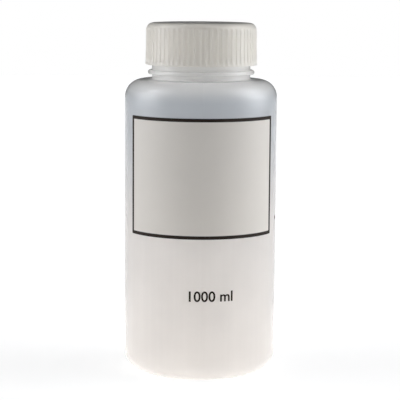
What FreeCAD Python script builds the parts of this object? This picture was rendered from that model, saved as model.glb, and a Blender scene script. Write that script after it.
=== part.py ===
import FreeCAD
import Part

import math
import os

# Wide-mouth storage bottle of about one litre: a blow-moulded bottle, a ribbed screw cap with a foam liner,
# and a printed panel to write on. Sizes are in millimetres and degrees. The bottle stands on z = 0 with its
# axis on Z, and the panel faces -Y.

# Body of the bottle
body_radius = 45.5
body_wall = 1.3
base_corner_radius = 10.8
base_wall = 1.8
standing_ring_width = 3.3
base_recess_depth = 2.4
base_recess_run = 3.5
base_dome_rise = 0.8
base_recess_bevel = 0.9
pinch_ridge_width = 0.9
pinch_ridge_height = 0.5
pinch_ridge_end_gap = 2.0

# Shoulder
shoulder_height = 175.9
shoulder_corner_radius = 10.5
shoulder_fall_angle = 2.0
shoulder_wall = 1.6
neck_foot_fillet = 1.2
neck_foot_inner_fillet = 3.0

# Neck, with the bead that the cap stops short of
neck_radius = 29.35
neck_wall = 2.1
neck_height = 31.0
rim_bevel = 0.6
bead_radius = 31.8
bead_gap = 2.9
bead_thickness = 2.45
bead_top_fillet = 1.3
bead_bevel = 0.6

# Thread on the neck: right-handed, one start
thread_pitch = 6.0
thread_height = 1.65
thread_flank_angle = 30.0
neck_thread_crest_width = 1.3
neck_thread_turns = 2.25
neck_thread_below_rim = 3.9
thread_fade_angle = 40.0
neck_thread_start_angle = 186.0
thread_points_per_turn = 24
thread_root_sink = 0.5

# Screw cap
cap_bead_clearance = 3.15
cap_top_wall = 1.5
cap_skirt_wall = 1.3
cap_top_fillet = 4.5
cap_crown = 0.33
cap_crown_margin = 8.0
cap_crown_fillet = 2.0
cap_edge_bevel = 0.4
cap_lead_in = 0.6
cap_flare = 0.4
cap_flare_height = 10.0
rib_count = 62
rib_height = 0.45
rib_base_width = 1.7
rib_crest_width = 0.9
rib_band_height = 2.2

# Thread in the cap
cap_thread_crest_width = 1.0
cap_thread_turns = 1.75
cap_thread_above_edge = 2.9

# Running clearances between the cap and the neck
thread_crest_clearance = 0.3
thread_flank_clearance = 0.45

# Foam liner, and the bead inside the cap that keeps it in
liner_thickness = 1.0
liner_clearance = 0.3
liner_bead_height = 0.8
liner_bead_depth = 0.6
liner_bead_gap = 0.3

# Printed panel: a field to write on, framed by a line of a second ink
frame_width = 100.4
frame_height = 70.1
frame_line_width = 2.0
frame_above_base = 85.5
ink_thickness = 0.15
ink_wall_gap = 0.05

# A corner smaller than this is cut straight, and a larger one is round
smallest_round = 1.0
# The share of a short side that its two corners may take up
most_of_side = 0.98

# Heights and radii that follow from the sizes above
rim_top = shoulder_height + neck_height
bead_bottom = shoulder_height + bead_gap
bead_top = bead_bottom + bead_thickness
bore_radius = neck_radius - neck_wall
neck_thread_crest_radius = neck_radius + thread_height
cap_edge = bead_top + cap_bead_clearance
cap_underside = rim_top + liner_thickness
cap_top = cap_underside + cap_top_wall
skirt_inner_radius = neck_thread_crest_radius + thread_crest_clearance
rib_root_radius = skirt_inner_radius + cap_skirt_wall
cap_radius = rib_root_radius + rib_height
cap_thread_crest_radius = neck_radius + thread_crest_clearance
liner_radius = skirt_inner_radius - liner_clearance
liner_bead_top = rim_top - liner_bead_gap


def point(radius, height, angle=0.0):
    """A point at a distance from the bottle's axis, a height, and an angle in radians about the axis."""
    return FreeCAD.Vector(radius * math.cos(angle), radius * math.sin(angle), height)


def rounded_outline(corners):
    """A closed outline in the plane of the axis, from corners (radius, height, size), as one face.

    Size is a large corner's fillet radius, or how far a small corner's bevel reaches along its sides. Where a
    side is too short for its two corners, they share most of it in proportion to their sizes.
    """
    places = [point(radius, height) for radius, height, size in corners]
    sizes = [size for radius, height, size in corners]
    stops = []
    edges = []
    for index, (here, size) in enumerate(zip(places, sizes)):
        following = (index + 1) % len(corners)
        back = places[index - 1] - here
        ahead = places[following] - here
        half_turn = back.getAngle(ahead) / 2
        is_round = size >= smallest_round
        reach = size / math.tan(half_turn) if is_round else size
        if size:
            back_share = size / (size + sizes[index - 1])
            ahead_share = size / (size + sizes[following])
            room = min(back.Length * back_share, ahead.Length * ahead_share)
            reach = min(reach, most_of_side * room)
        first = here + back.normalize() * reach
        last = here + ahead.normalize() * reach
        if is_round:
            inward = (back + ahead).normalize()
            depth = reach / math.cos(half_turn) - reach * math.tan(half_turn)
            edges.append(Part.Arc(first, here + inward * depth, last).toShape())
        elif size:
            edges.append(Part.LineSegment(first, last).toShape())
        stops.append((first, last))
    for (first, last), (next_first, next_last) in zip(stops, stops[1:] + stops[:1]):
        edges.append(Part.LineSegment(last, next_first).toShape())
    return Part.Face(Part.Wire(Part.__sortEdges__(edges)))


def turned(corners, angle=360.0):
    """The solid that an outline sweeps when it turns about the bottle's axis."""
    axis = FreeCAD.Vector(0, 0, 1)
    return rounded_outline(corners).revolve(FreeCAD.Vector(), axis, angle)


def thread_ridge(wall_radius, crest_radius, crest_width, start_angle, start_height, turns):
    """One helical ridge on a round wall, standing out from it or in from it, that fades at both ends.

    Four helices carry it: two sunk in the wall and two along the crest. Each side is ruled between two of them.
    """
    outwards = math.copysign(1.0, crest_radius - wall_radius)
    root_radius = wall_radius - outwards * thread_root_sink
    buried_radius = wall_radius - outwards * thread_root_sink / 2
    flank = math.tan(math.radians(thread_flank_angle))
    fade = math.radians(thread_fade_angle)
    sweep = 2 * math.pi * turns
    steps = math.ceil(turns * thread_points_per_turn)
    angles = [sweep * step / steps for step in range(steps + 1)]

    def rise(angle):
        share = min(1.0, angle / fade, (sweep - angle) / fade)
        return math.sin(share * math.pi / 2) ** 2

    def helix(side, on_crest):
        places = []
        for angle in angles:
            radius = root_radius
            if on_crest:
                radius = buried_radius + (crest_radius - buried_radius) * rise(angle)
            half_width = crest_width / 2 + flank * abs(crest_radius - radius)
            height = start_height + thread_pitch * angle / (2 * math.pi) + side * half_width
            places.append(point(radius, height, start_angle + angle))
        curve = Part.BSplineCurve()
        curve.interpolate(places)
        return curve.toShape()

    corners = [helix(-1, False), helix(-1, True), helix(1, True), helix(1, False)]
    faces = []
    for index, edge in enumerate(corners):
        faces.append(Part.makeRuledSurface(edge, corners[(index + 1) % len(corners)]))
    for end in (0, -1):
        ring = [edge.Vertexes[end].Point for edge in corners]
        faces.append(Part.Face(Part.makePolygon(ring + ring[:1])))
    shell = Part.Shell(faces)
    shell.sewShape()
    solid = Part.Solid(shell)
    if solid.Volume < 0:
        solid.reverse()
    return solid


def neck_thread_start():
    """Height of the lower end of the neck's thread, at its middle."""
    return rim_top - neck_thread_below_rim - neck_thread_turns * thread_pitch


def make_bottle():
    """The bottle: one wall from the domed base to the rim, the thread, and the pinched seam under the base."""
    ring_outer = body_radius - base_corner_radius
    recess_outer = ring_outer - standing_ring_width
    recess_inner = recess_outer - base_recess_run
    dome_top = base_recess_depth + base_dome_rise
    fall = math.tan(math.radians(shoulder_fall_angle))
    inner_radius = body_radius - body_wall
    shoulder_edge = shoulder_height - fall * (body_radius - neck_radius)
    inner_shoulder = shoulder_height - shoulder_wall
    inner_shoulder_edge = inner_shoulder - fall * (inner_radius - bore_radius)
    outside = [
        (0, dome_top, 0),
        (recess_inner, base_recess_depth, base_recess_bevel),
        (recess_outer, 0, base_recess_bevel),
        (body_radius, 0, base_corner_radius),
        (body_radius, shoulder_edge, shoulder_corner_radius),
        (neck_radius, shoulder_height, neck_foot_fillet),
        (neck_radius, bead_bottom, bead_bevel),
        (bead_radius, bead_bottom, bead_bevel),
        (bead_radius, bead_top, bead_top_fillet),
        (neck_radius, bead_top, bead_bevel),
        (neck_radius, rim_top, rim_bevel),
    ]
    inside = [
        (bore_radius, rim_top, rim_bevel),
        (bore_radius, inner_shoulder, neck_foot_inner_fillet),
        (inner_radius, inner_shoulder_edge, shoulder_corner_radius - body_wall),
        (inner_radius, base_wall, base_corner_radius - body_wall),
        (recess_outer, base_wall, base_recess_bevel),
        (recess_inner, base_recess_depth + base_wall, base_recess_bevel),
        (0, dome_top + base_wall, 0),
    ]
    wall = turned(outside + inside)
    thread = thread_ridge(
        neck_radius,
        neck_thread_crest_radius,
        neck_thread_crest_width,
        math.radians(neck_thread_start_angle),
        neck_thread_start(),
        neck_thread_turns,
    )
    # The seam where the mould pinched the hot tube shut, across the recess under the base
    seam_end = recess_inner - pinch_ridge_end_gap
    seam_end_height = dome_top - base_dome_rise * seam_end / recess_inner
    low = [(-seam_end, seam_end_height), (0, dome_top), (seam_end, seam_end_height)]
    lower_edge = [FreeCAD.Vector(0, y, z - pinch_ridge_height) for y, z in low]
    upper_edge = [FreeCAD.Vector(0, y, z + base_wall / 2) for y, z in reversed(low)]
    seam_face = Part.Face(Part.makePolygon(lower_edge + upper_edge + lower_edge[:1]))
    seam_face.translate(FreeCAD.Vector(-pinch_ridge_width / 2, 0, 0))
    seam = seam_face.extrude(FreeCAD.Vector(pinch_ridge_width, 0, 0))
    return wall.fuse([thread, seam])


def grip_grooves(bottom, top, outer_radius):
    """What is cut away between the cap's ribs: a ring whose inner wall is the ribbed outline."""
    root_half = rib_base_width / (2 * rib_root_radius)
    crest_half = rib_crest_width / (2 * cap_radius)
    # Each rib's sides run on past the crest, so that the cap's own outside closes it
    run_on = (outer_radius - rib_root_radius) / rib_height
    outer_half = max(root_half + (crest_half - root_half) * run_on, crest_half / 4)
    step = 2 * math.pi / rib_count
    edges = []
    for index in range(rib_count):
        middle = index * step
        foot = point(rib_root_radius, bottom, middle - root_half)
        left = point(outer_radius, bottom, middle - outer_half)
        right = point(outer_radius, bottom, middle + outer_half)
        next_foot = point(rib_root_radius, bottom, middle + root_half)
        valley = point(rib_root_radius, bottom, middle + step / 2)
        following = point(rib_root_radius, bottom, middle + step - root_half)
        edges.append(Part.LineSegment(foot, left).toShape())
        edges.append(Part.LineSegment(left, right).toShape())
        edges.append(Part.LineSegment(right, next_foot).toShape())
        edges.append(Part.Arc(next_foot, valley, following).toShape())
    ribs = Part.Face(Part.Wire(edges))
    height = FreeCAD.Vector(0, 0, top - bottom)
    blank = Part.makeCylinder(outer_radius + rib_height, top - bottom, point(0, bottom))
    return blank.cut(ribs.extrude(height))


def make_cap():
    """The screw cap: ribbed skirt with a slight flare, faintly crowned top, thread and liner bead inside."""
    liner_bead_radius = skirt_inner_radius - liner_bead_depth
    outline = [
        (0, cap_top, 0),
        (cap_radius - cap_crown_margin, cap_top, cap_crown_fillet),
        (cap_radius, cap_top - cap_crown, cap_top_fillet),
        (cap_radius, cap_edge + cap_flare_height, cap_flare_height),
        (cap_radius + cap_flare, cap_edge, cap_edge_bevel),
        (skirt_inner_radius + cap_lead_in, cap_edge, 0),
        (skirt_inner_radius, cap_edge + cap_lead_in, 0),
        (skirt_inner_radius, liner_bead_top - liner_bead_height - liner_bead_depth, 0),
        (liner_bead_radius, liner_bead_top - liner_bead_height, 0),
        (liner_bead_radius, liner_bead_top, 0),
        (skirt_inner_radius, liner_bead_top, 0),
        (skirt_inner_radius, cap_underside, 0),
        (0, cap_underside, 0),
    ]
    shell = turned(outline)
    grooves = grip_grooves(cap_edge + rib_band_height, cap_top, cap_radius + cap_flare)
    # The cap's ridge runs under the neck's, a clearance away from its lower flank, on the same spiral
    flank = math.tan(math.radians(thread_flank_angle))
    shared_depth = neck_thread_crest_radius - cap_thread_crest_radius
    half_widths = (neck_thread_crest_width + cap_thread_crest_width) / 2 + flank * shared_depth
    drop = half_widths + thread_flank_clearance
    start_height = cap_edge + cap_thread_above_edge
    climb = start_height - (neck_thread_start() - drop)
    start_angle = math.radians(neck_thread_start_angle) + 2 * math.pi * climb / thread_pitch
    thread = thread_ridge(
        skirt_inner_radius,
        cap_thread_crest_radius,
        cap_thread_crest_width,
        start_angle,
        start_height,
        cap_thread_turns,
    )
    return shell.cut(grooves).fuse(thread)


def make_cap_liner():
    """The foam disc that seals the rim, flat between it and the cap's top wall."""
    return Part.makeCylinder(liner_radius, liner_thickness, point(0, rim_top))


def ink_patch(width, bottom, top):
    """A film of ink on the body's wall, centred on the front: a stretch of a thin tube."""
    angle = width / body_radius
    film_inside = body_radius + ink_wall_gap
    film_outside = film_inside + ink_thickness
    film = turned(
        [
            (film_inside, bottom, 0),
            (film_outside, bottom, 0),
            (film_outside, top, 0),
            (film_inside, top, 0),
        ],
        math.degrees(angle),
    )
    film.rotate(FreeCAD.Vector(), FreeCAD.Vector(0, 0, 1), -90 - math.degrees(angle) / 2)
    return film


def make_writing_panel():
    """The matt field to write on, inside the frame's line."""
    return ink_patch(
        frame_width - 2 * frame_line_width,
        frame_above_base + frame_line_width,
        frame_above_base + frame_height - frame_line_width,
    )


def make_panel_border():
    """The frame's line, one film with the panel's shape left open."""
    whole = ink_patch(frame_width, frame_above_base, frame_above_base + frame_height)
    return whole.cut(make_writing_panel())


nodes = {
    "bottle": make_bottle,
    "cap": make_cap,
    "cap_liner": make_cap_liner,
    "writing_panel": make_writing_panel,
    "panel_border": make_panel_border,
}
os.makedirs("parts", exist_ok=True)
for name, make in nodes.items():
    shape = make()
    shape.exportStep(f"parts/{name}.step")
    box = shape.BoundBox
    print(f"{name}: {len(shape.Solids)} solid, {shape.Volume:.0f} mm3, z {box.ZMin:.2f} to {box.ZMax:.2f}")
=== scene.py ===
"""The looks of a wide-mouth storage bottle: a blow-moulded bottle, a ribbed screw cap with a foam liner, and print.

Lengths are in metres. The bottle stands on z = 0 with its axis on Z, and its printed panel faces -Y.
"""

import math

import bpy
import numpy as np
from bpy.props import FloatProperty, FloatVectorProperty, IntProperty, PointerProperty, StringProperty
from mathutils import Matrix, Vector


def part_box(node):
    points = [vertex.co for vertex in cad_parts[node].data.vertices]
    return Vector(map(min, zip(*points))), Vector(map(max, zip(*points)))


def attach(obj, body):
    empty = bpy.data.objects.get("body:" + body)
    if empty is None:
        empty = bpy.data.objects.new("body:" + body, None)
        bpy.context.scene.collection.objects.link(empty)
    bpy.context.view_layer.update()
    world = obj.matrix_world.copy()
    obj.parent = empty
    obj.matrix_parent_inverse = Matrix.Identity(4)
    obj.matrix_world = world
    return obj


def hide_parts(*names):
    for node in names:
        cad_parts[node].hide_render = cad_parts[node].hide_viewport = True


bl_info = {
    "name": "Wide-Mouth Storage Bottle",
    "version": (1, 0, 0),
    "blender": (4, 5, 0),
    "location": "3D View > Sidebar > Bottle",
    "description": "Builds a storage bottle with its screw cap, liner and print, and the stage it stands on",
    "category": "Add Mesh",
}

MM = 0.001
FULL_TURN = 2 * math.pi
FRONT = -math.pi / 2
# How far the back of a line or figure of ink stands off the wall
INK_BACK = 0.02 * MM
# Settings of a map range node whose ends are eased, and of a mix node for colours
SMOOTH = {"interpolation_type": "SMOOTHSTEP"}
COLOURS = {"data_type": "RGBA"}

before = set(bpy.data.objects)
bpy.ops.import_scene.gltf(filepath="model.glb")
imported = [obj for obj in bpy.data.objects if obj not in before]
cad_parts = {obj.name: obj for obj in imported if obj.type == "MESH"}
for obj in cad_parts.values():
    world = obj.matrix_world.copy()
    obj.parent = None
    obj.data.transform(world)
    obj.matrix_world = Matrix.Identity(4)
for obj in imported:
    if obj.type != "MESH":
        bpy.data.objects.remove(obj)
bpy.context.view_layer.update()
BOTTLE_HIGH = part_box("bottle")[1]
CAP_LOW, CAP_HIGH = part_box("cap")
LINER_LOW, LINER_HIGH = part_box("cap_liner")
BORDER_LOW, BORDER_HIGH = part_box("panel_border")


def linear(code):
    """An sRGB hex colour as linear red, green and blue."""
    shares = np.array([int(code[place : place + 2], 16) for place in (0, 2, 4)]) / 255
    return tuple(np.where(shares <= 0.04045, shares / 12.92, ((shares + 0.055) / 1.055) ** 2.4).tolist())


def length(name, description, default):
    """A property that holds a length in metres."""
    return FloatProperty(name=name, description=description, default=default, min=0, unit="LENGTH", precision=5)


def angle(name, description, degrees):
    """A property that holds an angle, from its degrees."""
    return FloatProperty(name=name, description=description, default=math.radians(degrees), subtype="ANGLE")


def amount(name, description, default):
    """A property that holds a plain number from 0 up."""
    return FloatProperty(name=name, description=description, default=default, min=0)


def colour(name, description, code):
    """A property that holds a colour, from an sRGB hex code."""
    return FloatVectorProperty(
        name=name, description=description, default=linear(code), min=0, max=1, size=3, subtype="COLOR"
    )


class BottleSizes(bpy.types.PropertyGroup):
    """Sizes of the blow-moulded bottle."""

    body_radius: length("Body Radius", "Outer radius of the straight wall", BOTTLE_HIGH.x)
    body_wall: length("Body Wall", "Thickness of the straight wall", 1.3 * MM)
    base_corner: length("Base Corner", "Radius of the rounding above the base", 10.8 * MM)
    base_wall: length("Base Wall", "Thickness of the base", 1.8 * MM)
    standing_ring: length("Standing Ring", "Width of the flat ring it stands on", 3.3 * MM)
    recess_depth: length("Recess Depth", "Depth of the recess under the base", 2.4 * MM)
    recess_run: length("Recess Run", "Width of the sloped side of the recess", 3.5 * MM)
    dome_rise: length("Dome Rise", "Rise of the base from the recess's edge to its middle", 0.8 * MM)
    shoulder_height: length("Shoulder Height", "Height at which the neck leaves the shoulder", 175.9 * MM)
    shoulder_corner: length("Shoulder Corner", "Radius of the rounding at the shoulder", 10.5 * MM)
    shoulder_wall: length("Shoulder Wall", "Thickness of the shoulder", 1.6 * MM)
    shoulder_fall: angle("Shoulder Fall", "Slope of the shoulder down from the neck", 2)
    neck_radius: length("Neck Radius", "Outer radius of the neck at the thread's root", 29.35 * MM)
    neck_wall: length("Neck Wall", "Thickness of the neck", 2.1 * MM)
    rim_height: length("Rim Height", "Height of the rim", BOTTLE_HIGH.z)
    bead_radius: length("Bead Radius", "Outer radius of the bead under the cap", 31.8 * MM)
    bead_gap: length("Bead Gap", "Height of the bead above the shoulder", 2.9 * MM)
    bead_thickness: length("Bead Thickness", "Height of the bead itself", 2.45 * MM)
    seam_height: length("Seam Height", "How far the mould's parting line stands out", 0.14 * MM)
    seam_width: length("Seam Width", "Width of the mould's parting line", 0.5 * MM)


class ThreadSizes(bpy.types.PropertyGroup):
    """Sizes that the neck's thread and the cap's thread share, and where each of them runs."""

    pitch: length("Pitch", "Rise in one turn", 6.0 * MM)
    height: length("Ridge Height", "How far a ridge stands out from its wall", 1.65 * MM)
    flank: angle("Flank Angle", "Angle of a ridge's side", 30)
    fade: angle("Fade Angle", "Turn over which a ridge rises at each end", 40)
    neck_crest: length("Neck Crest", "Width of the neck ridge's crest", 1.3 * MM)
    neck_start: length("Neck Start", "Height of the neck ridge's lower end", 189.5 * MM)
    neck_angle: angle("Neck Start Angle", "Where the neck ridge starts, from +X", 186)
    neck_turns: amount("Neck Turns", "Turns of the neck ridge", 2.25)
    cap_crest: length("Cap Crest", "Width of the cap ridge's crest", 1.0 * MM)
    cap_start: length("Cap Start", "Height of the cap ridge's lower end", 187.3 * MM)
    cap_angle: angle("Cap Start Angle", "Where the cap ridge starts, from +X", 196.76)
    cap_turns: amount("Cap Turns", "Turns of the cap ridge", 1.75)


class CapSizes(bpy.types.PropertyGroup):
    """Sizes of the screw cap and its liner."""

    radius: length("Radius", "Radius over the ribs", 33.05 * MM)
    flare: length("Flare", "How far the lower edge stands out", CAP_HIGH.x - 33.05 * MM)
    edge_height: length("Edge Height", "Height of the lower edge", CAP_LOW.z)
    top_height: length("Top Height", "Height of the top", CAP_HIGH.z)
    top_wall: length("Top Wall", "Thickness of the top", 1.5 * MM)
    bore_radius: length("Bore Radius", "Inner radius of the skirt", 31.3 * MM)
    top_corner: length("Top Corner", "Radius of the rounding at the top", 4.5 * MM)
    crown: length("Crown", "Fall of the top at its edge", 0.33 * MM)
    rib_count: IntProperty(name="Ribs", description="Number of grip ribs", default=62, min=3)
    rib_height: length("Rib Height", "How far a rib stands out", 0.45 * MM)
    rib_base: length("Rib Base", "Width of a rib at its foot", 1.7 * MM)
    rib_crest: length("Rib Crest", "Width of a rib at its crest", 0.9 * MM)
    band_height: length("Band Height", "Height of the plain band under the ribs", 2.2 * MM)
    liner_radius: length("Liner Radius", "Radius of the foam liner", LINER_HIGH.x)
    liner_edge: length("Liner Edge", "Rounding of the liner's cut edge", 0.25 * MM)


class PrintSizes(bpy.types.PropertyGroup):
    """Sizes of the printed panel, its line and the marks."""

    width: length("Panel Width", "Width of the frame along the wall", 100.4 * MM)
    low: length("Panel Low", "Height of the frame's lower edge", BORDER_LOW.z)
    high: length("Panel High", "Height of the frame's upper edge", BORDER_HIGH.z)
    line: length("Line Width", "Width of the frame's line", 2.0 * MM)
    corner: length("Corner", "Radius of the frame's outer corners", 0.7 * MM)
    film: length("Film", "How far the ink stands out from the wall", 0.16 * MM)
    capacity: StringProperty(name="Capacity", description="What the bottle holds, as printed", default="1000 ml")
    capacity_size: length("Capacity Size", "Height of the printed figures' line", 8.6 * MM)
    capacity_weight: length("Capacity Weight", "How far the figures' outline is widened", 0.14 * MM)
    capacity_height: length("Capacity Height", "Height of the printed figures' middle", 51.6 * MM)
    capacity_angle: angle("Capacity Angle", "Where the figures' middle is, from the panel's middle", 6)
    register_height: length("Register Height", "Height of the register mark's middle", 93.6 * MM)
    register_width: length("Register Width", "Width of the register mark", 1.8 * MM)
    register_length: length("Register Length", "Length of the register mark, upright", 2.0 * MM)
    register_corner: length("Register Corner", "Radius of the register mark's corners", 0.3 * MM)
    register_angle: angle("Register Angle", "Where the register mark is, from the panel's middle", 77)


class Finishes(bpy.types.PropertyGroup):
    """Colours of the plastics, the foam and the inks, with the painted shade of the bottle's upper body and the
    painted light of its neck.
    """

    polyethylene: colour("Polyethylene", "What the bottle's plastic reflects", "EFEDEB")
    polyethylene_through: colour("Polyethylene, Through", "Light that comes through the bottle's plastic", "F6F4F2")
    # Painted shade: the darker, bluer colour the bottle's upper body turns to, for the light it reflects and lets
    # through
    polyethylene_painted_shade: colour("Polyethylene, Thin", "What the plastic reflects where it is stretched", "DFE2E5")
    # Painted light: a brighter colour for the light that comes through the neck
    polyethylene_neck_painted_light: colour("Polyethylene, Thick", "Light that comes through the thick neck", "FDFDFC")
    polypropylene: colour("Polypropylene", "What the cap's plastic reflects", "F7F5F1")
    polypropylene_through: colour("Polypropylene, Through", "Light that comes through the cap's plastic", "FDFBF7")
    foam: colour("Foam", "The liner's foam", "EFEFEC")
    panel_ink: colour("Panel Ink", "The matt ink to write on", "DFDBD5")
    line_ink: colour("Line Ink", "The dark ink of the line and the figures", "1F1812")


class StageSettings(bpy.types.PropertyGroup):
    """The camera, the floor and the light."""

    distance: length("Distance", "Camera's distance from the bottle's axis", 949.18 * MM)
    height: length("Height", "Camera's height above the floor", 233.99 * MM)
    azimuth: angle("Azimuth", "Camera's turn about the bottle", -1.75)
    pitch: angle("Pitch", "How far the camera looks down", 7.89)
    roll: angle("Roll", "Camera's roll", 0.40)
    lens: FloatProperty(name="Lens", description="Focal length in millimetres", default=142.46, min=1)
    floor: colour("Floor", "The floor's colour", "F4F4F4")
    table_colour: colour("Table Colour", "Colour of the light from the table", "FFFCF8")
    table_light: amount("Table Light", "Light that the white table gives off under the bottle", 0.92)
    table_reach: length("Table Reach", "Radius from which the table gives off less light", 110 * MM)
    cloth_colour: colour("Cloth Colour", "Colour of the light from both cloths", "F9FBFF")
    left_light: amount("Left Light", "Light of the left cloth", 4.4)
    right_light: amount("Right Light", "Light of the right cloth", 5.6)
    room_light: amount("Room Light", "Light from every side", 0.02)


def ramp(share):
    """A smooth step: 0 below 0, 1 above 1, and three squares less two cubes of the share between."""
    share = np.clip(share, 0, 1)
    return share * share * (3 - 2 * share)


def outline(corners, arc_step=math.radians(9)):
    """Points along an open line through corners (radius, height, fillet, step), as an array of (radius, height).

    At a corner the two sides meet in an arc of the fillet's radius, which touches both of them. Where a side is
    too short for its two arcs, they share 0.98 of it in proportion to their radii. Step is how far apart points
    lie on the stretch that follows.
    """
    corners = np.array(corners, float)
    places = corners[:, :2]
    fillets = corners[:, 2]
    last = places[0]
    runs = [last[None]]
    for index, here in enumerate(places[1:], start=1):
        fillet = fillets[index]
        stop = [here]
        if fillet > 0 and index + 1 < len(corners):
            back = places[index - 1] - here
            ahead = places[index + 1] - here
            back_room = np.hypot(*back) * fillet / (fillet + fillets[index - 1])
            ahead_room = np.hypot(*ahead) * fillet / (fillet + fillets[index + 1])
            room = 0.98 * min(back_room, ahead_room)
            back = back / np.hypot(*back)
            ahead = ahead / np.hypot(*ahead)
            half = math.acos(np.clip(back @ ahead, -1, 1)) / 2
            reach = min(fillet / math.tan(half), room)
            radius = reach * math.tan(half)
            middle = here + (back + ahead) / np.hypot(*(back + ahead)) * radius / math.sin(half)
            turn = math.pi - 2 * half
            first = here + back * reach - middle
            side = math.copysign(1, first[1] * back[0] - first[0] * back[1])
            angles = side * np.linspace(0, turn, max(2, math.ceil(turn / arc_step) + 1))
            cosines, sines = np.cos(angles), np.sin(angles)
            stop = middle + np.stack(
                [first[0] * cosines - first[1] * sines, first[0] * sines + first[1] * cosines], axis=1
            )
        gap = stop[0] - last
        count = max(1, math.ceil(np.hypot(*gap) / corners[index - 1, 3]))
        shares = np.linspace(0, 1, count + 1)[1:-1, None]
        runs += [last + shares * gap, np.array(stop)]
        last = runs[-1][-1]
    return np.concatenate(runs)


def round_grid(radii, heights, angles):
    """Points of a surface about Z: radius times cosine and sine of the angle, and the height, for rows x columns."""
    radii, heights, angles = np.broadcast_arrays(radii, heights, angles)
    return np.stack([radii * np.cos(angles), radii * np.sin(angles), heights], axis=-1)


def grid_mesh(name, grid, close_rows=False, fold_ends=False):
    """A closed mesh over a grid of points whose columns close on themselves.

    Four neighbours make a face. A first or last row with all its points in one place becomes a pole of triangles.
    Where close_rows is set, the last row also joins the first. Where fold_ends is set, the second half of the
    first and of the last row lies on its first half, in the opposite order, and shares its points. The sum of the
    faces' signed volumes says which way they point, and they are turned outwards.
    """
    rows, columns = grid.shape[:2]
    index = np.arange(rows * columns).reshape(rows, columns)
    kept = np.ones(rows * columns, bool)
    for row in (0, rows - 1):
        if np.ptp(grid[row], axis=0).max() < 1e-7:
            kept[row * columns + 1 : (row + 1) * columns] = False
            index[row] = row * columns
        elif fold_ends:
            kept[row * columns + columns // 2 : (row + 1) * columns] = False
            index[row, columns // 2 :] = index[row, : columns // 2][::-1]
    index = (np.cumsum(kept) - 1)[index]
    points = grid.reshape(-1, 3)[kept]
    if close_rows:
        index = np.concatenate([index, index[:1]])
    beside = np.roll(index, -1, axis=1)
    faces = np.stack([index[:-1], index[1:], beside[1:], beside[:-1]], axis=-1).reshape(-1, 4)
    first, second, third, fourth = (points[faces[:, corner]] for corner in range(4))
    volume = (np.cross(first, second) * third).sum() + (np.cross(first, third) * fourth).sum()
    if volume < 0:
        faces = faces[:, ::-1]
    repeated = faces == np.roll(faces, -1, axis=1)
    count = repeated.sum(axis=1)
    triangles = faces[count == 1][~repeated[count == 1]].reshape(-1, 3)
    return fill_mesh(name, points, faces[count == 0], triangles)


def fill_mesh(name, points, quads, triangles):
    """Puts points, four-cornered and three-cornered faces into a new mesh, shaded smooth up to 35 degrees."""
    mesh = bpy.data.meshes.new(name)
    corners = np.concatenate([quads.ravel(), triangles.ravel()]).astype(np.int32)
    starts = np.concatenate([np.arange(len(quads)) * 4, quads.size + np.arange(len(triangles)) * 3])
    mesh.vertices.add(len(points))
    mesh.vertices.foreach_set("co", np.ascontiguousarray(points, np.float32).ravel())
    mesh.loops.add(len(corners))
    mesh.loops.foreach_set("vertex_index", corners)
    mesh.polygons.add(len(starts))
    mesh.polygons.foreach_set("loop_start", starts.astype(np.int32))
    mesh.update(calc_edges=True)
    mesh.validate()
    mesh.shade_smooth()
    mesh.set_sharp_from_angle(angle=math.radians(35))
    return mesh


def piece(name, mesh, material, body, slot, *nodes):
    """An object for a mesh that rides on a CAD body, takes the material and stands for CAD nodes. The slot is unused.
    """
    made = bpy.data.objects.new(name, mesh)
    bpy.context.scene.collection.objects.link(made)
    mesh.materials.append(material)
    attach(made, body)
    if nodes:
        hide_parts(*nodes)
    return made


def ridge(angles, heights, crest, start_angle, start_height, turns):
    """Share from 0 to 1 of a helical ridge's height at each angle and height.

    For each turn, the ridge's middle is the start height plus the pitch times the turns made since the start
    angle. From the crest's edge the share falls to 0 over the ridge's height times its flank's tangent, and at
    each end of the thread it rises as a squared sine.
    """
    sizes = bpy.context.scene.bottle_thread
    run = sizes.height * math.tan(sizes.flank)
    share = np.zeros(np.broadcast(angles, heights).shape)
    for turn in range(math.ceil(turns) + 1):
        made = (angles - start_angle) % FULL_TURN + turn * FULL_TURN
        left = turns * FULL_TURN - made
        middle = start_height + sizes.pitch * made / FULL_TURN
        ends = np.clip(np.minimum(made, left) / sizes.fade, 0, 1)
        across = (crest / 2 + run - np.abs(heights - middle)) / run
        share = np.maximum(share, ramp(across) * np.sin(ends * math.pi / 2) ** 2)
    return share


def seam_bump(angles, heights):
    """How far the parting line stands out: a bell curve of the distance from the YZ plane.

    It is full on the shoulder, and a quarter of that on the wall below, where the mould closes better.
    """
    sizes = bpy.context.scene.bottle_body
    offset = sizes.body_radius * np.cos(angles)
    on_wall_share = 0.25
    full_from, rise = sizes.shoulder_height - 19 * MM, 8 * MM
    share = on_wall_share + (1 - on_wall_share) * ramp((heights - full_from) / rise)
    return share * sizes.seam_height * np.exp(-((2 * offset / sizes.seam_width) ** 2))


def wall_angles(count):
    """Angles all round, with more of them where the parting line stands out."""
    sizes = bpy.context.scene.bottle_body
    near = sizes.seam_width * np.array([-1.6, -1, -0.7, -0.45, -0.22, 0, 0.22, 0.45, 0.7, 1, 1.6])
    near = near / sizes.body_radius
    evenly = np.linspace(-math.pi, math.pi, count, endpoint=False)
    for middle in (-math.pi / 2, math.pi / 2):
        evenly = evenly[np.abs(evenly - middle) > near[-1] * 1.5]
    return np.sort(np.concatenate([evenly, near - math.pi / 2, near + math.pi / 2]))


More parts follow.
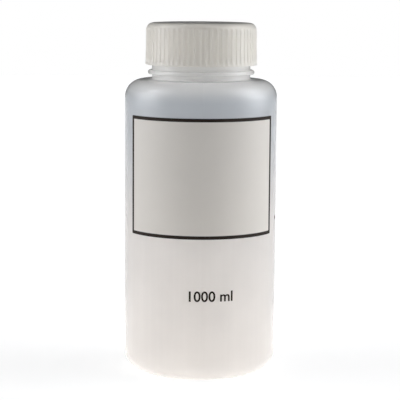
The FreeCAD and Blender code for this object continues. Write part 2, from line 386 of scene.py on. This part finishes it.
def bottle_mesh():
    """The bottle as one closed wall: an outline turned about Z, plus the neck's ridge and the parting line."""
    sizes = bpy.context.scene.bottle_body
    thread = bpy.context.scene.bottle_thread
    ring = sizes.body_radius - sizes.base_corner
    recess_outer = ring - sizes.standing_ring
    recess_inner = recess_outer - sizes.recess_run
    dome = sizes.recess_depth + sizes.dome_rise
    fall = math.tan(sizes.shoulder_fall)
    inner = sizes.body_radius - sizes.body_wall
    bore = sizes.neck_radius - sizes.neck_wall
    edge = sizes.shoulder_height - fall * (sizes.body_radius - sizes.neck_radius)
    inner_shoulder = sizes.shoulder_height - sizes.shoulder_wall
    inner_edge = inner_shoulder - fall * (inner - bore)
    bead_low = sizes.shoulder_height + sizes.bead_gap
    bead_high = bead_low + sizes.bead_thickness
    foot_round, bead_round, rim_round = 1.6 * MM, 0.6 * MM, 0.7 * MM
    wide, fine = 4 * MM, 0.26 * MM
    line = outline(
        [
            (0, dome, 0, 5 * MM),
            (recess_inner, sizes.recess_depth, foot_round, wide),
            (recess_outer, 0, foot_round, wide),
            (sizes.body_radius, 0, sizes.base_corner, 6 * MM),
            (sizes.body_radius, edge, sizes.shoulder_corner, 2 * MM),
            (sizes.neck_radius, sizes.shoulder_height, 1.2 * MM, wide),
            (sizes.neck_radius, bead_low, bead_round, wide),
            (sizes.bead_radius, bead_low, bead_round, wide),
            (sizes.bead_radius, bead_high, 1.3 * MM, wide),
            (sizes.neck_radius, bead_high, bead_round, fine),
            (sizes.neck_radius, sizes.rim_height, rim_round, wide),
            (bore, sizes.rim_height, rim_round, wide),
            (bore, inner_shoulder, 3 * MM, wide),
            (inner, inner_edge, sizes.shoulder_corner - sizes.body_wall, 8 * MM),
            (inner, sizes.base_wall, sizes.base_corner - sizes.body_wall, wide),
            (recess_outer, sizes.base_wall, foot_round, wide),
            (recess_inner, sizes.recess_depth + sizes.base_wall, foot_round, 5 * MM),
            (0, dome + sizes.base_wall, 0, wide),
        ]
    )
    radii, heights = line[:, :1], line[:, 1:]
    angles = wall_angles(280)[None]
    rim_row = int(np.argmax(heights[:, 0]))
    is_outside = (np.arange(len(line)) <= rim_row)[:, None]
    on_neck = is_outside & (heights > bead_high) & (np.abs(radii - sizes.neck_radius) < 0.01 * MM)
    # The parting line fades out just above the base and just before the neck
    on_body = ramp((heights - 4 * MM) / (6 * MM)) * ramp((radii - sizes.neck_radius - 1 * MM) / (3 * MM))
    on_body = on_body * is_outside * (heights < sizes.shoulder_height)
    turns = ridge(angles, heights, thread.neck_crest, thread.neck_angle, thread.neck_start, thread.neck_turns)
    bump = on_body * seam_bump(angles, heights)
    # Where the shoulder faces up, the parting line stands up instead of out
    rising = ramp((heights - (edge - sizes.shoulder_corner)) / sizes.shoulder_corner)
    radii = radii + on_neck * turns * thread.height + bump * (1 - rising)
    return grid_mesh("bottle_wall", round_grid(radii, heights + bump * rising, angles))


def pinch_mesh():
    """The seam under the base, where the mould pinched the tube shut: a bar with an oval section, half of it sunk.

    The oval is carried along Y on the dome's slope, and shrinks to nothing at both ends with the square root of 1
    less the twelfth power of the place along it.
    """
    sizes = bpy.context.scene.bottle_body
    inset, half_width, half_height = 2 * MM, 0.45 * MM, 0.5 * MM
    ring = sizes.body_radius - sizes.base_corner
    reach = ring - sizes.standing_ring - sizes.recess_run - inset
    dome = sizes.recess_depth + sizes.dome_rise
    along = np.linspace(-1, 1, 41)[:, None]
    around = np.linspace(0, FULL_TURN, 16, endpoint=False)[None]
    taper = np.sqrt(np.clip(1 - along**12, 0, 1))
    middle = dome - sizes.dome_rise * np.abs(along) * reach / (reach + inset)
    across = half_width * np.cos(around) * taper
    up = half_height * np.sin(around) * taper
    grid = np.stack(np.broadcast_arrays(across, along * reach, middle + up), axis=-1)
    return grid_mesh("pinch_seam", grid)


def cap_mesh():
    """The screw cap as one closed wall: ribs outside, the thread's ridge and the liner's bead inside.

    Beyond the ribs' root radius, the outline's radius is scaled by a wave with one crest for each rib.
    """
    sizes = bpy.context.scene.bottle_cap
    thread = bpy.context.scene.bottle_thread
    root = sizes.radius - sizes.rib_height
    low, high = sizes.edge_height, sizes.top_height
    under = high - sizes.top_wall
    bore = sizes.bore_radius
    bead = bore - 0.6 * MM
    bead_low, bead_high = under - 2.1 * MM, under - 1.3 * MM
    lead_in = 0.6 * MM
    gate_radius, gate_floor = 1.9 * MM, high - 0.25 * MM
    wide, fine = 3 * MM, 0.3 * MM
    line = outline(
        [
            (0, gate_floor, 0, 1 * MM),
            (gate_radius, gate_floor, 0.2 * MM, 1 * MM),
            (gate_radius + 0.3 * MM, high, 0.2 * MM, 6 * MM),
            (sizes.radius - 8 * MM, high, 2 * MM, wide),
            (sizes.radius, high - sizes.crown, sizes.top_corner, 2 * MM),
            (sizes.radius, low + 10 * MM, 10 * MM, 2 * MM),
            (sizes.radius + sizes.flare, low, 0.4 * MM, wide),
            (bore + lead_in, low, 0.1 * MM, wide),
            (bore, low + lead_in, 0.1 * MM, fine),
            (bore, bead_low - 0.6 * MM, 0.1 * MM, wide),
            (bead, bead_low, 0.2 * MM, wide),
            (bead, bead_high, 0.1 * MM, wide),
            (bore, bead_high, 0.1 * MM, wide),
            (bore, under, 0, 6 * MM),
            (0, under, 0, wide),
        ],
        arc_step=math.radians(12),
    )
    radii, heights = line[:, :1], line[:, 1:]
    step = FULL_TURN / sizes.rib_count
    crest = sizes.rib_crest / 2 / sizes.radius
    foot = sizes.rib_base / 2 / root
    stops = np.array([-foot, -(crest + foot) / 2, -crest, 0, crest, (crest + foot) / 2, foot, step / 2])
    angles = (np.arange(sizes.rib_count)[:, None] * step + stops).ravel()[None]
    from_crest = np.abs((angles + step / 2) % step - step / 2)
    wave = ramp((foot - from_crest) / (foot - crest))
    edge_row = int(np.argmin(heights[:, 0]))
    is_outside = (np.arange(len(line)) <= edge_row)[:, None]
    above_band = ramp((heights - low - sizes.band_height + 0.2 * MM) / (0.4 * MM))
    ribbed = np.where(radii > root, root + (radii - root) * (1 - above_band * (1 - wave)), radii)
    inside = ~is_outside & (np.abs(radii - bore) < 0.01 * MM) & (heights < bead_low - 0.1 * MM)
    turns = ridge(angles, heights, thread.cap_crest, thread.cap_angle, thread.cap_start, thread.cap_turns)
    radii = np.where(is_outside, ribbed, radii - inside * turns * thread.height)
    return grid_mesh("cap_wall", round_grid(radii, heights, angles))


def liner_mesh():
    """The foam liner: a disc's outline, with its cut edges slightly rounded, turned about Z.

    It stays a little clear of the rim and of the cap's top.
    """
    sizes = bpy.context.scene.bottle_cap
    gap = 0.02 * MM
    low, high = LINER_LOW.z + gap, LINER_HIGH.z - gap
    edge = (sizes.liner_edge, 2 * MM)
    line = outline(
        [
            (0, low, 0, 2 * MM),
            (sizes.liner_radius, low, *edge),
            (sizes.liner_radius, high, *edge),
            (0, high, 0, 2 * MM),
        ]
    )
    angles = np.linspace(0, FULL_TURN, 160, endpoint=False)[None]
    return grid_mesh("foam_disc", round_grid(line[:, :1], line[:, 1:], angles))


def on_wall(along, heights, out):
    """Points on the body's wall: the angle is the length along the wall divided by its radius, from the front."""
    radius = bpy.context.scene.bottle_body.body_radius
    angles = FRONT + along / radius
    return round_grid(radius + out + seam_bump(angles, heights), heights, angles)


def panel_mesh():
    """The field of ink: at each height a loop along the film's face and back behind it, flat at both edges.

    The field ends under the middle of the frame's line, and stands out a little less than that line.
    """
    sizes = bpy.context.scene.bottle_print
    tuck = sizes.line * 0.6
    half = sizes.width / 2 - tuck
    # Where the film runs over the mould's parting line, its points are closer
    over_seam = np.linspace(-0.8, 0.8, 9) * MM
    across = np.sort(np.concatenate([np.linspace(-half, half, 190), over_seam]))
    along = np.concatenate([across, across[::-1]])[None]
    face, behind = sizes.film * 0.85, 0.03 * MM
    out = np.where(np.arange(along.size) < across.size, face, behind)[None]
    heights = np.linspace(sizes.low + tuck, sizes.high - tuck, 24)
    heights = np.concatenate([heights[:1], heights, heights[-1:]])[:, None]
    out = np.repeat(out, heights.size, axis=0)
    out[[0, -1]] = behind
    return grid_mesh("panel_film", on_wall(along, heights, out), fold_ends=True)


def rounded_rectangle(width, height, corner):
    """Points round a rectangle centred on 0: a quarter circle at each corner, and straight sides between them."""
    quarter = np.linspace(-math.pi / 2, 0, 7)
    corners = []
    for turn, (across, up) in enumerate([(1, -1), (1, 1), (-1, 1), (-1, -1)]):
        angles = quarter + turn * math.pi / 2
        x = across * (width / 2 - corner) + corner * np.cos(angles)
        y = up * (height / 2 - corner) + corner * np.sin(angles)
        corners.append(np.stack([x, y], axis=1))
    runs = []
    for here, following, count in zip(corners, corners[1:] + corners[:1], (36, 100, 36, 100)):
        shares = np.linspace(0, 1, count, endpoint=False)[1:, None]
        runs += [here, here[-1] + shares * (following[0] - here[-1])]
    return np.concatenate(runs)


def border_mesh():
    """The frame's line: a flat section carried round a rectangle with rounded corners, wrapped on the wall."""
    sizes = bpy.context.scene.bottle_print
    height = sizes.high - sizes.low
    outer = rounded_rectangle(sizes.width, height, sizes.corner)
    inner = rounded_rectangle(sizes.width - 2 * sizes.line, height - 2 * sizes.line, 0.3 * MM)
    section = [(outer, INK_BACK), (outer, sizes.film), (inner, sizes.film), (inner, INK_BACK)]
    rows = [on_wall(path[:, 0], path[:, 1] + sizes.low + height / 2, out) for path, out in section]
    return grid_mesh("frame_line", np.stack(rows), close_rows=True)


def register_mesh():
    """The print's register mark: a rounded rectangle wrapped on the wall.

    Its rows run from the middle of its back out to its edge, up to its face, and in to the middle again.
    """
    sizes = bpy.context.scene.bottle_print
    path = rounded_rectangle(sizes.register_width, sizes.register_length, sizes.register_corner)
    middle = sizes.register_angle * bpy.context.scene.bottle_body.body_radius
    section = [(0, INK_BACK), (1, INK_BACK), (1, sizes.film), (0, sizes.film)]
    rows = [
        on_wall(middle + share * path[:, 0], sizes.register_height + share * path[:, 1], out) for share, out in section
    ]
    return grid_mesh("register_bar", np.stack(rows))


def capacity_mesh():
    """The printed figures: a flat text, made a mesh, whose x runs along the wall and whose y is the height."""
    sizes = bpy.context.scene.bottle_print
    radius = bpy.context.scene.bottle_body.body_radius
    text = bpy.data.curves.new("capacity_text", "FONT")
    text.body = sizes.capacity
    text.size = sizes.capacity_size
    text.align_x = "CENTER"
    text.align_y = "CENTER"
    text.extrude = sizes.film / 2
    text.offset = sizes.capacity_weight
    text.resolution_u = 6
    holder = bpy.data.objects.new("capacity_text", text)
    bpy.context.scene.collection.objects.link(holder)
    bpy.context.view_layer.update()
    mesh = bpy.data.meshes.new_from_object(holder.evaluated_get(bpy.context.evaluated_depsgraph_get()))
    bpy.data.objects.remove(holder)
    bpy.data.curves.remove(text)
    points = np.empty(len(mesh.vertices) * 3)
    mesh.vertices.foreach_get("co", points)
    points = points.reshape(-1, 3)
    along = points[:, 0] + sizes.capacity_angle * radius
    wrapped = on_wall(along, points[:, 1] + sizes.capacity_height, points[:, 2] + sizes.film / 2 + INK_BACK)
    mesh.vertices.foreach_set("co", wrapped.ravel())
    mesh.materials.clear()
    mesh.update()
    return mesh


def add(tree, kind, inputs=(), **settings):
    """Adds one node. Inputs maps a socket's name or number to its value, or to the output that feeds it."""
    made = tree.nodes.new(kind)
    for key, value in settings.items():
        setattr(made, key, value)
    for key, value in dict(inputs).items():
        if isinstance(value, bpy.types.NodeSocket):
            tree.links.new(value, made.inputs[key])
        else:
            made.inputs[key].default_value = value
    return made


def new_material(name):
    """A material with an empty node tree, and that tree."""
    made = bpy.data.materials.new(name)
    made.use_nodes = True
    made.node_tree.nodes.clear()
    return made, made.node_tree


def opaque(rgb):
    """A colour with full alpha, as a socket takes it."""
    return (*rgb, 1)


def shaded(tree, rgb, factor, share):
    """A colour that goes from itself to a factor times itself as share goes from 0 to 1."""
    ends = {0: share, 6: opaque(rgb), 7: opaque([value * factor for value in rgb])}
    return add(tree, "ShaderNodeMix", ends, **COLOURS).outputs[2]


def skin(tree, inner, ior, roughness, normal):
    """A shader under the gloss of the plastic's own smooth skin, as strong as Fresnel's law gives from outside."""
    fresnel = add(tree, "ShaderNodeFresnel", {"IOR": ior, "Normal": normal}).outputs[0]
    inside = add(tree, "ShaderNodeNewGeometry").outputs["Backfacing"]
    outside = add(tree, "ShaderNodeMath", {0: 1.0, 1: inside}, operation="SUBTRACT").outputs[0]
    strength = add(tree, "ShaderNodeMath", {0: fresnel, 1: outside}, operation="MULTIPLY").outputs[0]
    gloss = add(tree, "ShaderNodeBsdfAnisotropic", {"Roughness": roughness, "Normal": normal}).outputs[0]
    return add(tree, "ShaderNodeMixShader", {0: strength, 1: inner, 2: gloss}).outputs[0]


def polyethylene_material():
    """Natural low-density polyethylene, blow-moulded, 1.3 mm thick.

    The waxy wall scatters the light that passes it, so the bottle glows evenly and shows no sharp shape through.
    The tube's die leaves faint upright streaks, the wall's thickness drifts over a few centimetres, and the
    blasted mould leaves a fine, satin grain. The upper body turns darker and bluer as painted shade, and the
    light through the neck is painted brighter.
    """
    finish = bpy.context.scene.bottle_finishes
    ior, through_share = 1.51, 0.76
    made, tree = new_material("low_density_polyethylene_blow_moulded")
    place = add(tree, "ShaderNodeTexCoord").outputs["Object"]
    upright = add(tree, "ShaderNodeMapping", {"Vector": place, "Scale": (1, 1, 0.03)}).outputs["Vector"]
    # Die streaks are 1 to 3 mm wide
    streaks = add(tree, "ShaderNodeTexNoise", {"Vector": upright, "Scale": 420.0, "Detail": 3.0}).outputs["Fac"]
    # The wall's thickness drifts over about 25 mm
    drift = add(tree, "ShaderNodeTexNoise", {"Vector": place, "Scale": 40.0, "Detail": 2.0}).outputs["Fac"]
    both = add(tree, "ShaderNodeMath", {0: streaks, 1: 0.45, 2: drift}, operation="MULTIPLY_ADD")
    share = add(tree, "ShaderNodeMapRange", {"Value": both.outputs[0], "From Min": 0.5, "From Max": 0.95})
    # Blasting leaves pits of about 0.1 mm, drawn at 0.5 mm so that they show
    grain = add(tree, "ShaderNodeTexNoise", {"Vector": place, "Scale": 2000.0, "Detail": 2.0}).outputs["Fac"]
    relief = add(tree, "ShaderNodeMath", {0: streaks, 1: 0.8, 2: grain}, operation="MULTIPLY_ADD")
    bump = add(tree, "ShaderNodeBump", {"Strength": 0.25, "Distance": 0.04 * MM, "Height": relief.outputs[0]})
    rough = add(tree, "ShaderNodeMapRange", {"Value": drift, "To Min": 0.2, "To Max": 0.28})
    height = add(tree, "ShaderNodeSeparateXYZ", {0: place}).outputs["Z"]
    # Painted shade: from 85 to 160 mm both colours turn to a darker, bluer one. From 163 to 174 mm, at the neck,
    # they turn back, what is reflected to the plain colour and what passes to a brighter one, as painted light
    thin, thick = (
        add(
            tree,
            "ShaderNodeMapRange",
            {"Value": height, "From Min": low * MM, "From Max": high * MM},
            **SMOOTH,
        ).outputs[0]
        for low, high in ((85, 160), (163, 174))
    )
    colours = []
    for wall, factor, neck in (
        (finish.polyethylene, 0.97, finish.polyethylene),
        (finish.polyethylene_through, 0.955, finish.polyethylene_neck_painted_light),
    ):
        drawn = shaded(tree, wall, factor, share.outputs[0])
        # Mixes in the upper body's painted shade, then at the neck the plain reflected colour and the painted light
        # through it
        for place_share, end in ((thin, finish.polyethylene_painted_shade), (thick, neck)):
            drawn = add(tree, "ShaderNodeMix", {0: place_share, 6: drawn, 7: opaque(end)}, **COLOURS).outputs[2]
        colours.append(drawn)
    reflected, passed = colours
    surface = add(
        tree,
        "ShaderNodeBsdfPrincipled",
        {"Base Color": reflected, "Roughness": rough.outputs[0], "IOR": ior, "Normal": bump.outputs[0]},
    )
    through = add(tree, "ShaderNodeBsdfTranslucent", {"Color": passed, "Normal": bump.outputs[0]})
    mixed = add(tree, "ShaderNodeMixShader", {0: through_share, 1: surface.outputs[0], 2: through.outputs[0]})
    glossed = skin(tree, mixed.outputs[0], ior, rough.outputs[0], bump.outputs[0])
    add(tree, "ShaderNodeOutputMaterial", {"Surface": glossed})
    return made


def polypropylene_material():
    """Natural polypropylene, injection-moulded, 1.3 mm thick.

    It is milkier and a little warmer than the bottle's plastic, with a softer sheen. The neck's thread shows
    faintly through it, so a tenth of the light passes straight.
    """
    finish = bpy.context.scene.bottle_finishes
    ior, through_share, straight_share = 1.49, 0.74, 0.10
    made, tree = new_material("polypropylene_injection_moulded")
    place = add(tree, "ShaderNodeTexCoord").outputs["Object"]
    # Flow marks drift over about 15 mm
    flow = add(tree, "ShaderNodeTexNoise", {"Vector": place, "Scale": 65.0, "Detail": 3.0, "Distortion": 0.6})
    # The spark-eroded mould leaves a grain of about 0.15 mm, drawn at 0.4 mm so that it shows
    grain = add(tree, "ShaderNodeTexNoise", {"Vector": place, "Scale": 2500.0, "Detail": 2.0})
    bump = add(
        tree, "ShaderNodeBump", {"Strength": 0.25, "Distance": 0.03 * MM, "Height": grain.outputs["Fac"]}
    )
    rough = add(tree, "ShaderNodeMapRange", {"Value": flow.outputs["Fac"], "To Min": 0.27, "To Max": 0.4})
    surface = add(
        tree,
        "ShaderNodeBsdfPrincipled",
        {
            "Base Color": shaded(tree, finish.polypropylene, 0.96, flow.outputs["Fac"]),
            "Roughness": rough.outputs[0],
            "IOR": ior,
            "Normal": bump.outputs[0],
        },
    )
    through = add(
        tree,
        "ShaderNodeBsdfTranslucent",
        {
            "Color": shaded(tree, finish.polypropylene_through, 0.95, flow.outputs["Fac"]),
            "Normal": bump.outputs[0],
        },
    )
    mixed = add(tree, "ShaderNodeMixShader", {0: through_share, 1: surface.outputs[0], 2: through.outputs[0]})
    straight = add(tree, "ShaderNodeBsdfTransparent", {"Color": opaque(finish.polypropylene_through)})
    milky = add(tree, "ShaderNodeMixShader", {0: straight_share, 1: mixed.outputs[0], 2: straight.outputs[0]})
    glossed = skin(tree, milky.outputs[0], ior, rough.outputs[0], bump.outputs[0])
    add(tree, "ShaderNodeOutputMaterial", {"Surface": glossed})
    return made


def foam_material():
    """Closed-cell polyethylene foam, cut from a sheet: matt white, with skinned cells of about 0.4 mm."""
    finish = bpy.context.scene.bottle_finishes
    through_share = 0.35
    made, tree = new_material("polyethylene_foam_cut_sheet")
    place = add(tree, "ShaderNodeTexCoord").outputs["Object"]
    cells = add(tree, "ShaderNodeTexVoronoi", {"Vector": place, "Scale": 2200.0}).outputs["Distance"]
    bump = add(tree, "ShaderNodeBump", {"Strength": 0.6, "Distance": 0.08 * MM, "Height": cells})
    surface = add(
        tree,
        "ShaderNodeBsdfPrincipled",
        {
            "Base Color": shaded(tree, finish.foam, 0.9, cells),
            "Roughness": 0.75,
            "IOR": 1.5,
            "Normal": bump.outputs[0],
        },
    )
    through = add(tree, "ShaderNodeBsdfTranslucent", {"Color": opaque(finish.foam)})
    mixed = add(tree, "ShaderNodeMixShader", {0: through_share, 1: surface.outputs[0], 2: through.outputs[0]})
    add(tree, "ShaderNodeOutputMaterial", {"Surface": mixed.outputs[0]})
    return made


def panel_ink_material():
    """Matt white screen ink, loaded with chalk so that a pencil bites: chalky, with the printing mesh's trace.

    A film this thin still lets some of the light from inside the bottle through.
    """
    finish = bpy.context.scene.bottle_finishes
    through_share = 0.3
    made, tree = new_material("matt_screen_ink")
    place = add(tree, "ShaderNodeTexCoord").outputs["Object"]
    # The film's thickness drifts over about 12 mm
    drift = add(tree, "ShaderNodeTexNoise", {"Vector": place, "Scale": 80.0, "Detail": 4.0}).outputs["Fac"]
    # Chalk and the mesh leave a tooth of about 0.1 mm, drawn at 0.6 mm so that it shows
    tooth = add(tree, "ShaderNodeTexNoise", {"Vector": place, "Scale": 1700.0, "Detail": 3.0}).outputs["Fac"]
    slow = add(tree, "ShaderNodeMath", {0: drift, 1: 0.7}, operation="MULTIPLY")
    share = add(tree, "ShaderNodeMath", {0: tooth, 1: 0.3, 2: slow.outputs[0]}, operation="MULTIPLY_ADD")
    colour_drift = shaded(tree, finish.panel_ink, 0.94, share.outputs[0])
    bump = add(tree, "ShaderNodeBump", {"Strength": 0.3, "Distance": 0.03 * MM, "Height": tooth})
    surface = add(
        tree,
        "ShaderNodeBsdfPrincipled",
        {"Base Color": colour_drift, "Roughness": 0.72, "IOR": 1.5, "Normal": bump.outputs[0]},
    )
    through = add(tree, "ShaderNodeBsdfTranslucent", {"Color": colour_drift})
    mixed = add(tree, "ShaderNodeMixShader", {0: through_share, 1: surface.outputs[0], 2: through.outputs[0]})
    add(tree, "ShaderNodeOutputMaterial", {"Surface": mixed.outputs[0]})
    return made


def line_ink_material():
    """Dark brown screen ink, cured to a low sheen: opaque, and a little paler in patches of about 1.4 mm."""
    finish = bpy.context.scene.bottle_finishes
    made, tree = new_material("dark_screen_ink")
    place = add(tree, "ShaderNodeTexCoord").outputs["Object"]
    patches = add(tree, "ShaderNodeTexNoise", {"Vector": place, "Scale": 700.0, "Detail": 3.0}).outputs["Fac"]
    bump = add(tree, "ShaderNodeBump", {"Strength": 0.2, "Distance": 0.02 * MM, "Height": patches})
    surface = add(
        tree,
        "ShaderNodeBsdfPrincipled",
        {
            "Base Color": shaded(tree, finish.line_ink, 1.3, patches),
            "Roughness": 0.6,
            "IOR": 1.5,
            "Specular IOR Level": 0.15,
            "Normal": bump.outputs[0],
        },
    )
    add(tree, "ShaderNodeOutputMaterial", {"Surface": surface.outputs[0]})
    return made


class BOTTLE_OT_bottle(bpy.types.Operator):
    """Builds the blow-moulded bottle with its neck thread, parting line and pinched seam"""

    bl_idname = "bottle_kit.bottle"
    bl_label = "Bottle"

    def execute(self, context):
        plastic = polyethylene_material()
        piece("bottle_wall", bottle_mesh(), plastic, "bottle", "bottle_plastic", "bottle")
        piece("pinch_seam", pinch_mesh(), plastic, "bottle", "bottle_plastic")
        return {"FINISHED"}


class BOTTLE_OT_cap(bpy.types.Operator):
    """Builds the ribbed screw cap"""

    bl_idname = "bottle_kit.cap"
    bl_label = "Screw Cap"

    def execute(self, context):
        piece("cap_wall", cap_mesh(), polypropylene_material(), "cap", "cap_plastic", "cap")
        return {"FINISHED"}


class BOTTLE_OT_liner(bpy.types.Operator):
    """Builds the cap's foam liner"""

    bl_idname = "bottle_kit.liner"
    bl_label = "Foam Liner"

    def execute(self, context):
        piece("foam_disc", liner_mesh(), foam_material(), "cap_liner", "liner_foam", "cap_liner")
        return {"FINISHED"}


class BOTTLE_OT_print(bpy.types.Operator):
    """Prints the panel to write on, its dark line, the capacity and the register mark"""

    bl_idname = "bottle_kit.print"
    bl_label = "Print"

    def execute(self, context):
        piece("panel_film", panel_mesh(), panel_ink_material(), "bottle", "panel_ink", "writing_panel")
        dark = line_ink_material()
        piece("frame_line", border_mesh(), dark, "bottle", "border_ink", "panel_border")
        piece("capacity_figures", capacity_mesh(), dark, "bottle", "border_ink")
        piece("register_bar", register_mesh(), dark, "bottle", "border_ink")
        return {"FINISHED"}


class BOTTLE_OT_stage(bpy.types.Operator):
    """Sets the pale floor, the soft light and the camera"""

    bl_idname = "bottle_kit.stage"
    bl_label = "Stage"

    def execute(self, context):
        settings = context.scene.bottle_stage
        make_floor(settings)
        make_light(settings)
        make_camera(settings)
        context.scene.view_settings.view_transform = "Standard"
        return {"FINISHED"}


def make_floor(settings):
    """A wide round table, lit from inside and most brightly under the bottle.

    Its own light falls evenly from the table's reach to 2.5 times that radius, down to 0.35 of itself. The camera
    sees it as white, with a share of its real shade.
    """
    angles = np.linspace(0, FULL_TURN, 64, endpoint=False)[None]
    radii = np.array([[0.0], [0.3], [3.0]])
    grid = round_grid(radii, -0.1 * MM, angles)
    far, far_share = 2.5, 0.35
    white_light, white_share = 1.14, 0.7
    made, tree = new_material("white_table")
    top = add(tree, "ShaderNodeBsdfDiffuse", {"Color": opaque(settings.floor)})
    place = add(tree, "ShaderNodeTexCoord").outputs["Object"]
    away = add(tree, "ShaderNodeVectorMath", {0: place}, operation="LENGTH").outputs["Value"]
    strength = add(
        tree,
        "ShaderNodeMapRange",
        {
            "Value": away,
            "From Min": settings.table_reach,
            "From Max": settings.table_reach * far,
            "To Min": settings.table_light,
            "To Max": settings.table_light * far_share,
        },
    )
    warm = opaque(settings.table_colour)
    inside = add(tree, "ShaderNodeEmission", {"Color": warm, "Strength": strength.outputs[0]})
    lit = add(tree, "ShaderNodeAddShader", {0: top.outputs[0], 1: inside.outputs[0]})
    white = add(tree, "ShaderNodeEmission", {"Color": (1, 1, 1, 1), "Strength": white_light})
    seen = add(tree, "ShaderNodeMixShader", {0: white_share, 1: top.outputs[0], 2: white.outputs[0]})
    camera = add(tree, "ShaderNodeLightPath").outputs["Is Camera Ray"]
    mixed = add(tree, "ShaderNodeMixShader", {0: camera, 1: lit.outputs[0], 2: seen.outputs[0]})
    add(tree, "ShaderNodeOutputMaterial", {"Surface": mixed.outputs[0]})
    mesh = grid_mesh("floor", grid)
    mesh.materials.append(made)
    floor = bpy.data.objects.new("floor", mesh)
    bpy.context.scene.collection.objects.link(floor)


def make_light(settings):
    """Soft light from two tall white cloths, left and right of the bottle, and a little from all round.

    A direction's light is the left or the right cloth's strength. It fades where the direction leaves the plane
    through both cloths, from 0.05 of its length to 0.6, and where it rises above them, from 0.6 to 0.95.
    """
    world = bpy.data.worlds.new("studio_cloths")
    world.use_nodes = True
    tree = world.node_tree
    tree.nodes.clear()
    bpy.context.scene.world = world
    direction = add(tree, "ShaderNodeTexCoord").outputs["Generated"]
    parts = add(tree, "ShaderNodeSeparateXYZ", {0: direction}).outputs
    depth = add(tree, "ShaderNodeMath", {0: parts["Y"]}, operation="ABSOLUTE").outputs[0]
    beside, low = (
        add(tree, "ShaderNodeMapRange", {"Value": value, "From Min": dark, "From Max": full}, **SMOOTH).outputs[0]
        for value, dark, full in ((depth, 0.6, 0.05), (parts["Z"], 0.95, 0.6))
    )
    band = add(tree, "ShaderNodeMath", {0: beside, 1: low}, operation="MULTIPLY").outputs[0]
    cloth = add(
        tree,
        "ShaderNodeMapRange",
        {
            "Value": parts["X"],
            "From Min": -0.15,
            "From Max": 0.15,
            "To Min": settings.left_light,
            "To Max": settings.right_light,
        },
    )
    shares = {0: band, 1: cloth.outputs[0], 2: settings.room_light}
    strength = add(tree, "ShaderNodeMath", shares, operation="MULTIPLY_ADD")
    cool = opaque(settings.cloth_colour)
    lit = add(tree, "ShaderNodeBackground", {"Color": cool, "Strength": strength.outputs[0]})
    white = add(tree, "ShaderNodeBackground", {"Color": (1, 1, 1, 1), "Strength": 1.0})
    camera = add(tree, "ShaderNodeLightPath").outputs["Is Camera Ray"]
    mixed = add(tree, "ShaderNodeMixShader", {0: camera, 1: lit.outputs[0], 2: white.outputs[0]})
    add(tree, "ShaderNodeOutputWorld", {"Surface": mixed.outputs[0]})


def make_camera(settings):
    """The camera, at the photo's height and distance, turned about the bottle, then pitched down and rolled."""
    aside = -0.17 * MM
    data = bpy.data.cameras.new("camera")
    data.sensor_width = 36
    data.lens = settings.lens
    data.clip_start = 0.05
    data.clip_end = 100
    camera = bpy.data.objects.new("camera", data)
    bpy.context.scene.collection.objects.link(camera)
    turn = Matrix.Rotation(settings.azimuth, 4, "Z")
    place = Matrix.Translation((aside, -settings.distance, settings.height))
    aim = Matrix.Rotation(math.pi / 2 - settings.pitch, 4, "X") @ Matrix.Rotation(settings.roll, 4, "Z")
    camera.matrix_world = turn @ place @ aim
    bpy.context.scene.camera = camera


class BOTTLE_PT_panel(bpy.types.Panel):
    """Lists the bottle's pieces and the stage"""

    bl_idname = "BOTTLE_PT_panel"
    bl_label = "Storage Bottle"
    bl_space_type = "VIEW_3D"
    bl_region_type = "UI"
    bl_category = "Bottle"

    def draw(self, context):
        for made in PIECES:
            self.layout.operator(made.bl_idname)
        for name, group in GROUPS.items():
            box = self.layout.box()
            box.label(text=group.__doc__)
            for key in group.__annotations__:
                box.prop(getattr(context.scene, name), key)


PIECES = (BOTTLE_OT_bottle, BOTTLE_OT_cap, BOTTLE_OT_liner, BOTTLE_OT_print, BOTTLE_OT_stage)
GROUPS = {
    "bottle_body": BottleSizes,
    "bottle_thread": ThreadSizes,
    "bottle_cap": CapSizes,
    "bottle_print": PrintSizes,
    "bottle_finishes": Finishes,
    "bottle_stage": StageSettings,
}


def register():
    for made in (*GROUPS.values(), *PIECES, BOTTLE_PT_panel):
        bpy.utils.register_class(made)
    for name, group in GROUPS.items():
        setattr(bpy.types.Scene, name, PointerProperty(type=group))


def unregister():
    for name in GROUPS:
        delattr(bpy.types.Scene, name)
    for made in (BOTTLE_PT_panel, *reversed(PIECES), *reversed(GROUPS.values())):
        bpy.utils.unregister_class(made)


def main():
    register()
    bpy.ops.bottle_kit.bottle()
    bpy.ops.bottle_kit.cap()
    bpy.ops.bottle_kit.liner()
    bpy.ops.bottle_kit.print()
    bpy.ops.bottle_kit.stage()


if __name__ == "__main__":
    main()
